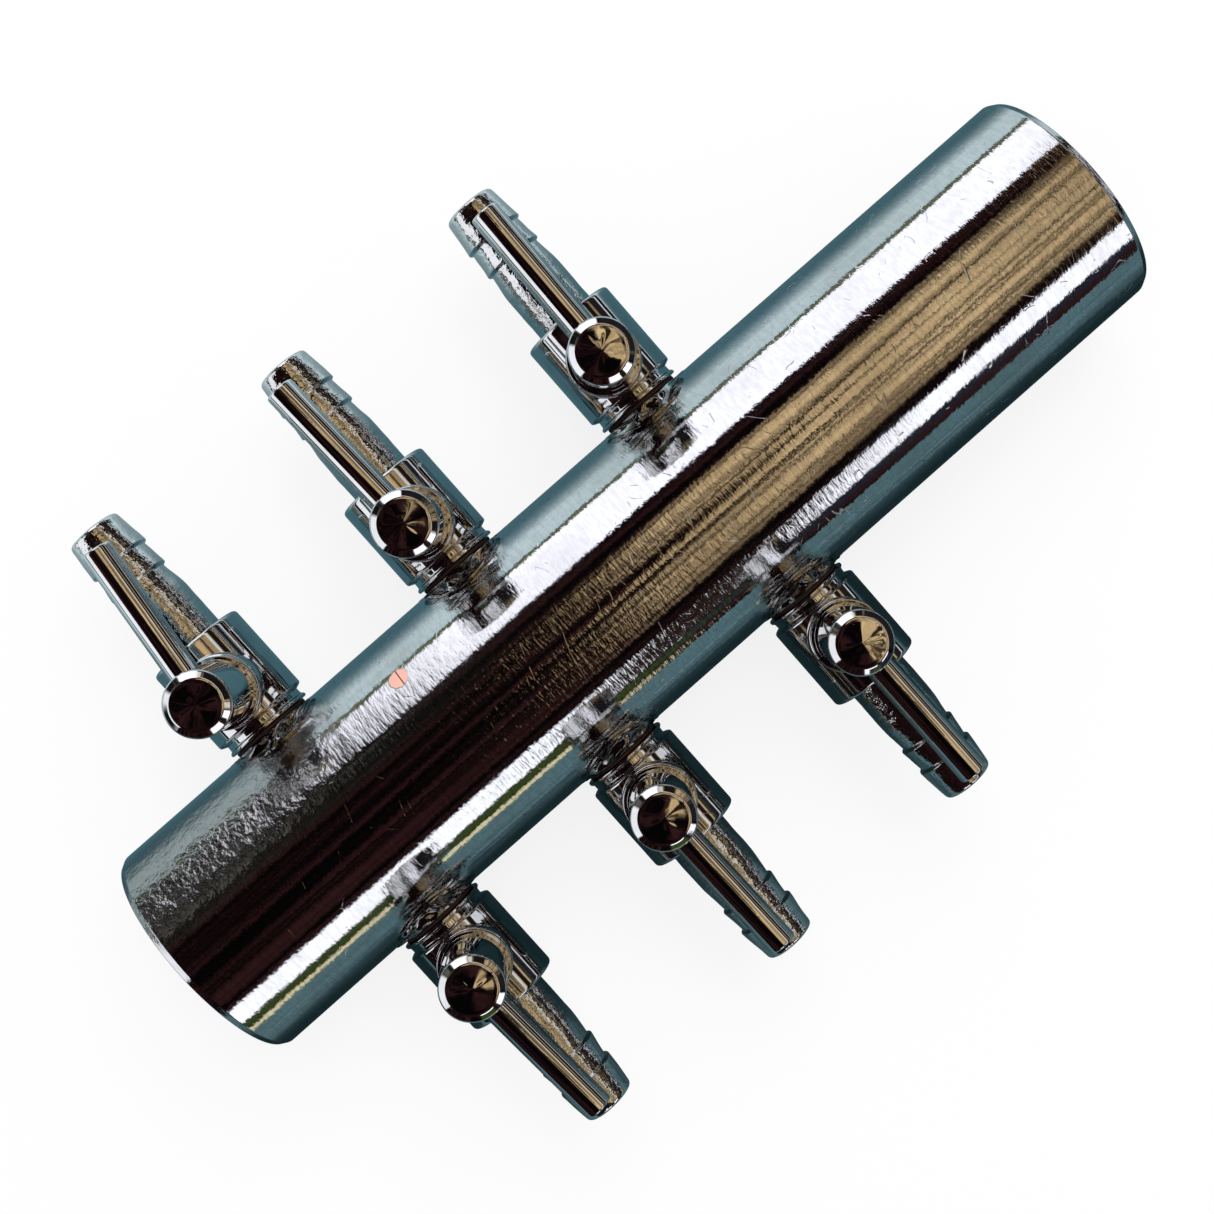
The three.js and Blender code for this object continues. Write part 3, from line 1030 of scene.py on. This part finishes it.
@dataclass
class ValveBody(SubAssembly):
    """Neck, barrel and hose barb in one, with the boss above and the foot below."""

    place: ValvePlace
    neck_start: float = 10.4
    waist_radius: float = 3.62
    collar_radius: float = 3.84
    barrel_start: float = 11.4
    barrel_end: float = 19.35
    barrel_radius: float = 4.15
    barrel_edge: float = 0.35
    bore: float = 1.45
    barb_radius: float = 2.65
    groove_radius: float = 2.36
    tip_radius: float = 2.28
    tip: float = 31.45
    first_crest: float = 28.25
    second_crest: float = 25.95
    run_out: float = 2.2
    spindle_at: float = 14.7
    boss_radius: float = 3.05
    boss_bore: float = 2.57
    boss_top: float = 4.9
    foot_radius: float = 2.9
    foot_bore: float = 1.58
    foot_bottom: float = -4.3
    segments: int = 128

    def build(self) -> None:
        """Makes the body, which is one piece of three closed shells."""
        number = self.place.number
        shells = [self.barrel(), self.collar(1.0), self.collar(-1.0)]
        body = mesh_from_grids(f"valve_shell_{number}", shells, self.place.on_outlet())
        self.keep(body, VALVE_CHROME, "manifold", f"valve_body_{number}")

    def barrel(self) -> Grid:
        """The barrel's outline turned about the outlet, with soft lumps on the barb."""
        outline = corner_profile(
            [
                (self.bore, self.neck_start, 0.08),
                (self.collar_radius, self.neck_start, 0.10),
                (self.collar_radius, self.neck_start + 0.24, 0.10),
                (self.waist_radius, self.neck_start + 0.38, 0.1),
                (self.waist_radius - 0.03, self.barrel_start - 0.12, 0.06),
                (self.barrel_radius - 0.3, self.barrel_start - 0.02, 0.12),
                (self.barrel_radius, self.barrel_start + 0.12, 0.2),
                (self.barrel_radius, self.barrel_end, self.barrel_edge),
                (self.barb_radius, self.barrel_end, 0.1),
                (self.barb_radius, self.second_crest - self.run_out, 0.5),
                (self.groove_radius, self.second_crest - 0.1, 0.16),
                (self.barb_radius, self.second_crest, 0.14),
                (self.groove_radius, self.first_crest - 0.1, 0.16),
                (self.barb_radius, self.first_crest, 0.14),
                (self.tip_radius, self.tip, 0.42),
                (self.bore, self.tip, 0.1),
            ],
            closed=True,
        )
        outline = refine(np.vstack([outline, outline[:1]]), 0.3)[:-1]
        grid = turned_grid(outline, self.segments)
        u = turn_steps(self.segments)
        lumps = wobble(u, outline[None, :, 1], 60 + self.place.number, turns=6, fineness=1.6)
        barb = eased(outline[:, 1], self.barrel_end + 0.2, self.barrel_end + 1.5)[None, :]
        outside = eased(outline[:, 0], self.bore + 0.3, self.bore + 0.6)[None, :]
        swell = 1.0 + 0.006 * lumps * barb * outside
        return grid * np.stack([swell, np.ones_like(swell), swell], 2)

    def collar(self, way: float) -> Grid:
        """The boss (way 1) or the foot (way -1): an upright pipe whose wall runs into the barrel.

        The wall ends at a small fillet where z = sqrt(R^2 - x^2), the barrel's surface.

        Args:
            way: 1 for upwards and -1 for downwards.

        Returns:
            The shell, in the valve's frame.
        """
        if way > 0:
            radius, bore, top = self.boss_radius, self.boss_bore, self.boss_top
        else:
            radius, bore, top = self.foot_radius, self.foot_bore, -self.foot_bottom
        u = turn_steps(self.segments)

        def on_barrel(reach: float) -> np.ndarray:
            """Height of the barrel's surface at a radius from the spindle."""
            return np.sqrt(self.barrel_radius**2 - (reach * np.cos(u)) ** 2)

        t = np.linspace(0.0, 1.0, 8)[None, :]
        flare, lip = 0.16, 0.16
        start = np.minimum(on_barrel(radius) + flare, top - 0.12)
        wall_radius = radius + flare * t**2
        wall_height = start + (on_barrel(radius + flare) - 0.02 - start) * (1.0 - (1.0 - t) ** 2)
        rows = [
            (bore, top - 1.6),
            (bore, top - lip),
            (bore + 0.3 * lip, top - 0.3 * lip),
            (bore + lip, top),
            (radius - lip, top),
            (radius - 0.3 * lip, top - 0.3 * lip),
            (radius, top - lip),
            (radius, np.maximum(start, top - lip - 0.04) if way < 0 else start + 0.02),
            (wall_radius, wall_height),
            (radius + 0.5 * flare, on_barrel(radius + flare) - 0.4),
            (bore + 0.2, top - 2.2),
        ]
        ring, height = columns(rows, u)
        return np.stack([ring * np.cos(u), self.spindle_at + ring * np.sin(u), way * height], 2)


@dataclass
class Spindle(SubAssembly):
    """What turns with a lever: the plug and its post, the lever, the seals and the clip."""

    place: ValvePlace
    stem_radius: float = 1.5
    stem_bottom: float = -5.3
    plug_radius: float = 2.48
    plug_bottom: float = -2.9
    groove_radius: float = 1.76
    groove_at: float = 2.2
    groove_half: float = 0.37
    collar_radius: float = 2.95
    collar_bottom: float = 4.96
    collar_height: float = 0.6
    collar_dish: float = 0.08
    post_foot: float = 2.64
    post_radius: float = 2.6
    face_radius: float = 1.98
    face_rise: float = 0.18
    post_top: float = 14.0
    chamfer: float = 0.41
    lever_radius: float = 1.2
    lever_height: float = 11.2
    lever_root: float = 1.1
    lever_reach: float = 13.8
    clip_height: float = -4.72
    clip_thickness: float = 0.34
    clip_outer: float = 2.5
    clip_inner: float = 1.2
    clip_half_opening: float = 0.5
    clip_groove_radius: float = 1.1
    clip_groove_half: float = 0.23
    segments: int = 128

    def build(self) -> None:
        """Makes the post, the lever and the clip, and dresses the seals in rubber."""
        number, body = self.place.number, self.place.body
        self.keep(self.post(), SPINDLE_CHROME, body, f"valve_plug_{number}")
        self.keep(self.lever(), SPINDLE_CHROME, body, f"lever_{number}")
        self.keep(self.clip(), CLIP_STEEL, body, f"retaining_clip_{number}")
        for ring in (f"upper_o_ring_{number}", f"lower_o_ring_{number}"):
            dress(frame["nodes"][ring], RUBBER)
            LOG.info("%s: kept from the frame", ring)

    def post(self) -> bpy.types.Object:
        """Stem, plug, collar and tapered post in one, turned about the spindle.

        The face is a very flat cone, h (1 - sqrt(r^2 + c^2)/R), whose slope changes round the turn
        in creased spokes left by the tool.

        Returns:
            The piece.
        """
        top = self.post_top - self.face_rise
        corners = [(0.0, self.stem_bottom, 0.0), (self.stem_radius, self.stem_bottom, 0.15)]
        corners += [
            (self.stem_radius, self.clip_height - self.clip_groove_half, 0.03),
            (self.clip_groove_radius, self.clip_height - self.clip_groove_half, 0.03),
            (self.clip_groove_radius, self.clip_height + self.clip_groove_half, 0.03),
            (self.stem_radius, self.clip_height + self.clip_groove_half, 0.03),
            (self.stem_radius, self.plug_bottom, 0.05),
            (self.plug_radius, self.plug_bottom, 0.1),
        ]
        for middle in (-self.groove_at, self.groove_at):
            corners += [
                (self.plug_radius, middle - self.groove_half, 0.04),
                (self.groove_radius, middle - self.groove_half, 0.06),
                (self.groove_radius, middle + self.groove_half, 0.06),
                (self.plug_radius, middle + self.groove_half, 0.04),
            ]
        corners += [
            (self.plug_radius, self.collar_bottom, 0.05),
            (self.collar_radius, self.collar_bottom, 0.08),
            (self.collar_radius, self.collar_bottom + self.collar_height, 0.11),
            (self.post_foot, self.collar_bottom + self.collar_height - self.collar_dish, 0.03),
            (self.post_radius, top - self.chamfer, 0.17),
            (self.face_radius, top, 0.13),
            (self.face_radius - 0.3, top + 0.02, 0.0),
        ]
        outline = corner_profile(corners)
        radii = np.linspace(outline[-1, 0], 0.0, 26)[1:]
        rim = outline[-1, 0]
        outline = np.vstack([outline, np.column_stack([radii, np.full_like(radii, top + 0.02)])])
        grid = turned_grid(outline, self.segments)
        u = turn_steps(self.segments)
        share = np.sqrt(np.clip(outline[None, :, 0] / rim, 0.0, 1.0) ** 2 + 0.006)
        cone = np.clip(1.0 - share, 0.0, 1.0) * (outline[None, :, 1] > top + 0.01)
        spokes = np.tanh(2.5 * wobble(u, 0.0 * u, 80 + self.place.number, turns=5))
        centre = eased(share, 0.1, 0.6)
        grid[..., 1] += self.face_rise * cone * (0.86 + 0.12 * spokes * centre)
        return mesh_from_grids(f"post_{self.place.number}", [stood_up(grid)], self.place.on_spindle())

    def lever(self) -> bpy.types.Object:
        """The lever: a plain rod with a rounded edge at its free end."""
        outline = corner_profile(
            [
                (0.0, self.lever_root, 0.0),
                (self.lever_radius, self.lever_root, 0.05),
                (self.lever_radius, self.lever_reach, 0.22),
                (0.0, self.lever_reach, 0.0),
            ]
        )
        grid = turned_grid(refine(outline, 0.5), 96) + np.array([0.0, 0.0, self.lever_height])
        return mesh_from_grids(f"lever_rod_{self.place.number}", [grid], self.place.on_spindle())

    def clip(self) -> bpy.types.Object:
        """The open spring clip: a rounded strip section carried along an arc, closed at its ends.

        The section is a superellipse, |x/a|^4 + |z/b|^4 = 1, which shrinks to a point past each end.

        Returns:
            The piece.
        """
        middle = (self.clip_outer + self.clip_inner) / 2.0
        half = (self.clip_outer - self.clip_inner) / 2.0
        gap = math.asin(self.clip_half_opening / middle)
        arc = np.linspace(gap, TURN - gap, 72)
        arc = np.concatenate([arc[:1], arc[:1], arc, arc[-1:], arc[-1:]])[:, None]
        size = np.ones_like(arc)
        size[[0, -1]] = 0.0
        size[[1, -2]] = 0.9
        v = np.linspace(0.0, TURN, 32, endpoint=False)[None, :]
        across = np.sign(np.cos(v)) * np.abs(np.cos(v)) ** 0.5 * half * size
        rise = np.sign(np.sin(v)) * np.abs(np.sin(v)) ** 0.5 * self.clip_thickness / 2.0 * size
        ring = middle + across
        grid = np.stack([ring * np.cos(arc), ring * np.sin(arc), self.clip_height + rise], 2)
        return mesh_from_grids(f"clip_{self.place.number}", [grid], self.place.on_spindle())


# --------------------------------------------------------------------------- studio


class Room:
    """The room that the plating mirrors, painted by direction, one panel over another.

    Angles are in degrees: across is the angle from straight up towards +Y, tilt the same towards
    +X, rise the elevation, and bearing the angle round from +X. Lean is the slope along the tube.
    """

    BEAM, BEAM_EDGE = display(5, 4, 5), display(48, 26, 27)
    WOOD_DARK, WOOD, SEAM = display(62, 46, 34), display(190, 162, 120), display(34, 25, 19)
    WOOD_LIT, WOOD_GREY = display(222, 196, 150), display(128, 116, 94)
    WALL_DARK, WALL = display(20, 19, 18), display(88, 86, 80)
    WINDOW, SCREEN, STRIP = display(238, 239, 250), display(240, 242, 248), display(240, 242, 250)
    BRASS, CREAM = display(96, 98, 70), display(214, 208, 170)
    LEAVES, SLATE = display(52, 66, 30), display(34, 34, 44)
    GAP_DARK, GAP = display(30, 20, 18), display(120, 116, 120)
    SHELF, LAMP = display(30, 28, 30), display(196, 196, 202)
    FAR_WOOD, JOIST = display(104, 96, 76), display(28, 20, 18)
    RAIL, BEYOND = display(208, 204, 200), display(24, 20, 22)
    HEDGE, GROUND = display(14, 16, 18), display(112, 146, 152)

    def __init__(self, graph: Graph, direction: Socket) -> None:
        """Reads the angles of a direction and paints every panel.

        Args:
            graph: The world's tree.
            direction: The direction that is looked in.
        """
        self.graph = graph
        self.x, self.y, z = graph.parts(direction)
        side = graph.math("SQRT", graph.plus(graph.times(self.y, self.y), graph.times(z, z)))
        self.across = self.angle("ARCTAN2", self.y, z)
        self.tilt = self.angle("ARCTAN2", self.x, z)
        self.rise = self.angle("ARCSINE", z)
        self.bearing = self.angle("ARCTAN2", self.y, self.x)
        self.lean = graph.math("DIVIDE", self.x, graph.math("MAXIMUM", side, 0.02))
        streaky = graph.vector(graph.times(self.lean, 1.3), graph.times(self.across, 0.16), 0.0)
        self.streaks = graph.noise(streaky, 1.0, 4.0, 0.62)
        self.clouds = graph.noise(direction, 5.0, 3.0, 0.55)
        self.height = graph.plus(self.rise, graph.scaled(self.clouds, 5.0, -2.5))
        self.opposite = graph.between(self.bearing, -118.0, -62.0, 4.0)
        self.window = self.panel((60.0, 98.5, 4.0), self.height, (4.5, 41.5, 1.2))
        self.strip = graph.times(self.opposite, graph.between(self.height, 15.5, 34.0, 1.5))
        self.wood = self.woven_wood()
        self.colour = self.ceiling()
        self.window_side()
        self.strip_side()
        self.ends()

    def angle(self, operation: str, *values: object) -> Socket:
        """An inverse function of a direction's parts, in degrees."""
        return self.graph.times(self.graph.math(operation, *values), math.degrees(1.0))

    def panel(self, bearings: Span, height: Socket, heights: Span) -> Socket:
        """A mask between two bearings and two heights, each span given with its softness."""
        sideways = self.graph.between(self.bearing, *bearings)
        return self.graph.times(sideways, self.graph.between(height, *heights))

    def paint(self, colour: object, *masks: object) -> None:
        """Lays a colour over the room where all its masks are 1."""
        self.colour = self.graph.mix(self.graph.times(*masks), self.colour, colour)

    def woven_wood(self) -> Socket:
        """Lit wood: streaks and a fine grain along the tube, with wandering dark seams."""
        graph = self.graph
        wood = graph.mix(graph.step(self.streaks, 0.41, 0.53), self.WOOD_DARK, self.WOOD)
        place = graph.vector(graph.times(self.lean, 14.0), graph.times(self.across, 0.22), 3.0)
        grain = graph.noise(place, 1.0, 3.0)
        wood = graph.mix(graph.step(grain, 0.50, 0.66), wood, self.WOOD_LIT)
        wood = graph.mix(graph.step(grain, 0.44, 0.34), wood, self.WOOD_GREY)
        wave = graph.scaled(self.across, 0.15, graph.times(self.streaks, 3.0))
        seam = graph.absolute(graph.math("SINE", wave))
        return graph.mix(graph.step(seam, 0.22, 0.06), wood, self.SEAM)

    def ceiling(self) -> Socket:
        """Dark beams overhead, which give way to lit wood towards the inlet at a ragged edge."""
        graph = self.graph
        beams = graph.mix(graph.step(self.streaks, 0.42, 0.66), self.BEAM, self.BEAM_EDGE)
        edge = graph.scaled(graph.between(self.across, -3.0, 6.0, 3.0), 0.09, 0.03)
        past = graph.plus(graph.minus(self.lean, edge), graph.scaled(self.streaks, 0.22, -0.11))
        upper = graph.scaled(self.streaks, 26.0, 15.0)
        faded = graph.step(graph.minus(self.across, upper), 5.0, -5.0)
        low = graph.step(self.across, -45.0, -36.0)
        return graph.mix(graph.times(graph.step(past, -0.03, 0.05), low, faded), beams, self.wood)

    def window_side(self) -> None:
        """Towards +Y: a wall, a window, a screen by the closed end and a brass line."""
        graph = self.graph
        wall = graph.mix(graph.step(self.clouds, 0.44, 0.64), self.WALL_DARK, self.WALL)
        self.paint(wall, self.panel((98.0, 126.0, 6.0), self.rise, (3.0, 60.0, 10.0)))
        self.paint(self.WINDOW, self.window)
        behind = graph.absolute(graph.minus(graph.absolute(self.bearing), 180.0))
        screen = graph.times(graph.step(self.y, -0.11, -0.06), graph.step(behind, 58.0, 50.0))
        self.paint(self.SCREEN, screen, graph.between(self.height, 1.0, 35.0, 2.0))
        self.paint(self.BRASS, self.panel((62.0, 120.0, 6.0), self.rise, (0.5, 4.0, 1.0)))

    def strip_side(self) -> None:
        """Towards -Y: a bright strip broken by a dark gap, leaves under it, then a cream line."""
        graph = self.graph
        broken = graph.plus(self.lean, graph.scaled(self.clouds, 0.16, -0.08))
        gap = graph.between(broken, -0.045, 0.125, 0.03)
        speckle = graph.mix(graph.step(self.clouds, 0.60, 0.70), self.GAP_DARK, self.GAP)
        self.paint(graph.mix(gap, self.STRIP, speckle), self.strip)
        leaves = graph.mix(graph.step(self.lean, 0.0, 0.05), self.LEAVES, self.SLATE)
        self.paint(leaves, self.opposite, graph.between(self.rise, 8.0, 14.5, 1.0))
        cream = graph.between(self.rise, 1.2, 6.0, 1.5)
        self.paint(self.CREAM, self.opposite, cream, graph.step(self.lean, 0.02, -0.04))

    def ends(self) -> None:
        """Towards +X: a dark shelf, a lamp and barred wood. At both ends: a hedge, then the ground."""
        graph = self.graph
        right = graph.step(graph.absolute(self.bearing), 60.0, 52.0)
        self.paint(self.SHELF, right, graph.step(self.rise, 32.0, 26.0))
        self.paint(self.LAMP, right, graph.between(self.rise, 7.0, 11.0, 1.5))
        wood = graph.mix(0.4, self.wood, self.FAR_WOOD)
        bars = ((21.0, 27.0, self.JOIST), (38.0, 44.0, self.RAIL), (46.0, 56.0, self.BEYOND))
        for low, high, colour in bars:
            wood = graph.mix(graph.between(self.tilt, low, high, 1.5), wood, colour)
        leaning = graph.step(graph.absolute(self.lean), 0.35, 0.5)
        above = graph.step(self.rise, 24.0, 30.0)
        self.paint(wood, graph.between(self.tilt, 2.0, 58.0, 4.0), above, leaning)
        outwards = graph.step(graph.absolute(self.x), 0.35, 0.6)
        self.paint(self.HEDGE, outwards, graph.between(self.rise, -1.0, 7.0, 2.0))
        self.paint(self.GROUND, graph.step(self.rise, 0.6, -0.6))


@dataclass
class Studio:
    """A pale floor, soft light, and the room and bench that only the plating mirrors."""

    floor_height: float
    floor_radius: float = 1.6
    floor_segments: int = 96
    floor_glow: float = 0.95
    floor_shading: float = 0.12
    bench_strength: float = 1.35
    room_strength: float = 1.40
    window_strength: float = 0.45
    light_place: tuple[float, float] = (0.25, 0.22)
    light_target: tuple[float, float] = (0.047, 0.0)
    light_height: float = 0.55
    light_size: float = 0.5
    light_power: float = 4.0

    def build(self) -> None:
        """Makes the floor, the world and the light."""
        self.floor()
        self.world()
        self.light()

    @staticmethod
    def seen_or_mirrored(graph: Graph, seen: Socket, mirrored: Socket, output: str) -> None:
        """Gives one shader to the eye and another to mirrored rays."""
        path, chosen = graph.add("ShaderNodeLightPath"), graph.add("ShaderNodeMixShader")
        graph.feed(chosen.inputs[0], path.outputs["Is Glossy Ray"])
        graph.feed(chosen.inputs[1], seen)
        graph.feed(chosen.inputs[2], mirrored)
        graph.feed(graph.add(output).inputs["Surface"], chosen.outputs[0])

    def floor(self) -> None:
        """A wide disc: pale to the eye, and a grey-green bench with painted light and shade to the plating that
        mirrors it.
        """
        u = np.linspace(0.0, TURN, self.floor_segments, endpoint=False)
        ring = np.column_stack([np.cos(u), np.sin(u), 0.0 * u]) * self.floor_radius
        mesh = bpy.data.meshes.new("floor")
        mesh.from_pydata((ring + (0.0, 0.0, self.floor_height)).tolist(), [], [list(range(len(u)))])
        floor = bpy.data.objects.new("floor", mesh)
        bpy.context.scene.collection.objects.link(floor)
        floor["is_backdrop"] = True
        material, graph = new_material("floor")
        seen = graph.add("ShaderNodeMixShader")
        pale, lit = graph.add("ShaderNodeEmission"), graph.add("ShaderNodeBsdfDiffuse")
        pale.inputs["Color"].default_value = (1.0, 1.0, 1.0, 1.0)
        pale.inputs["Strength"].default_value = self.floor_glow
        lit.inputs["Color"].default_value = (0.8, 0.8, 0.8, 1.0)
        for socket, value in zip(seen.inputs, (self.floor_shading, pale.outputs[0], lit.outputs[0])):
            graph.feed(socket, value)
        mirrored = graph.add("ShaderNodeEmission")
        graph.feed(mirrored.inputs["Color"], self.bench(graph))
        mirrored.inputs["Strength"].default_value = self.bench_strength
        self.seen_or_mirrored(graph, seen.outputs[0], mirrored.outputs[0], "ShaderNodeOutputMaterial")
        mesh.materials.append(material)

    @staticmethod
    def bench(graph: Graph) -> Socket:
        """The bench's colour: a painted shadow, dark by the manifold, and painted light, brighter outwards and
        towards +Y; mottled.
        """
        x, y, _ = graph.parts(in_millimetres(graph))
        away = graph.absolute(y)
        # Painted light: the bench grows brighter towards +Y, the side the light comes from.
        painted_light_side = graph.step(y, -16.0, 20.0)
        # Painted shade and light: the bench is darker close to the manifold and brighter further out.
        far = graph.step(away, 19.0, 56.0)
        painted_shade_near = graph.mix(painted_light_side, display(22, 38, 42), display(66, 98, 108))
        painted_light_far = graph.mix(painted_light_side, display(62, 92, 99), display(196, 213, 217))
        shade = graph.mix(far, painted_shade_near, painted_light_far)
        mottle = graph.noise(graph.vector(graph.times(x, 0.25), y, 0.0), 0.16, 3.0)
        mottled = graph.times(graph.step(mottle, 0.35, 0.7), graph.times(far, 0.4))
        shade = graph.mix(mottled, shade, display(140, 166, 173))
        # Painted shadow: very dark right under and beside the manifold.
        return graph.mix(graph.times(graph.step(away, 11.0, 7.0), 0.85), shade, display(14, 24, 28))

    def world(self) -> None:
        """Pale to the eye and to matt faces, and the room to mirrored rays."""
        world = bpy.data.worlds.new("room")
        world.use_nodes = True
        world.node_tree.nodes.clear()
        bpy.context.scene.world = world
        graph = Graph(world.node_tree)
        room = Room(graph, graph.add("ShaderNodeTexCoord").outputs["Generated"])
        bright = graph.math("MAXIMUM", room.window, room.strip)
        mirrored, pale = graph.add("ShaderNodeBackground"), graph.add("ShaderNodeBackground")
        graph.feed(mirrored.inputs["Color"], room.colour)
        strength = graph.scaled(bright, self.window_strength, self.room_strength)
        graph.feed(mirrored.inputs["Strength"], strength)
        pale.inputs["Color"].default_value = (1.0, 1.0, 1.0, 1.0)
        self.seen_or_mirrored(graph, pale.outputs[0], mirrored.outputs[0], "ShaderNodeOutputWorld")
        world.cycles.sampling_method = "NONE"

    def light(self) -> None:
        """One large soft light for the floor and the matt pieces, which the plating doesn't mirror."""
        data = bpy.data.lights.new("soft_light", "AREA")
        data.shape = "DISK"
        data.size = self.light_size
        data.energy = self.light_power
        light = bpy.data.objects.new("soft_light", data)
        light.location = (*self.light_place, self.light_height)
        towards = Vector((*self.light_target, 0.0)) - light.location
        light.rotation_euler = towards.to_track_quat("-Z", "Y").to_euler()
        light.visible_glossy = False
        bpy.context.scene.collection.objects.link(light)


@dataclass(frozen=True)
class Eye:
    """The camera: straight above the manifold, slightly tilted, with the tube running uphill."""

    position: tuple[float, float, float] = (42.15, 5.9, 150.0)
    pitch: float = 4.32
    yaw: float = 2.35
    roll: float = 41.44
    lens: float = 54.03
    sensor: float = 36.0
    shift: tuple[float, float] = (-0.0733, 0.0015)

    def build(self) -> None:
        """Makes the camera and chooses it."""
        data = bpy.data.cameras.new("camera")
        data.lens, data.sensor_width = self.lens, self.sensor
        data.shift_x, data.shift_y = self.shift
        data.clip_start, data.clip_end = 0.005, 10.0
        turn = Matrix.Rotation(math.radians(self.roll), 3, "Z")
        turn = turn @ Matrix.Rotation(math.radians(self.yaw), 3, "Y")
        turn = turn @ Matrix.Rotation(math.radians(self.pitch), 3, "X")
        camera = bpy.data.objects.new("camera", data)
        place = Matrix.Translation(Vector(self.position) * MM)
        camera.matrix_world = place @ turn.transposed().to_4x4()
        bpy.context.scene.collection.objects.link(camera)
        bpy.context.scene.camera = camera


def main() -> None:
    """Builds the manifold round its frame, then the studio, with its floor under the frame's box."""
    logging.basicConfig(level=logging.INFO, format="%(name)s: %(message)s")
    frame_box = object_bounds()
    parts: list[SubAssembly] = [MainTube()]
    for number in range(1, 7):
        place = ValvePlace.read(number)
        parts += [BrazedStub(place), ValveBody(place), Spindle(place)]
    for part in parts:
        part.build()
    Studio(floor_height=frame_box[0][2]).build()
    Eye().build()
    bpy.context.scene.view_settings.view_transform = "Standard"
    LOG.info("%d pieces", sum(len(part.made) for part in parts))


if __name__ == "__main__":
    main()
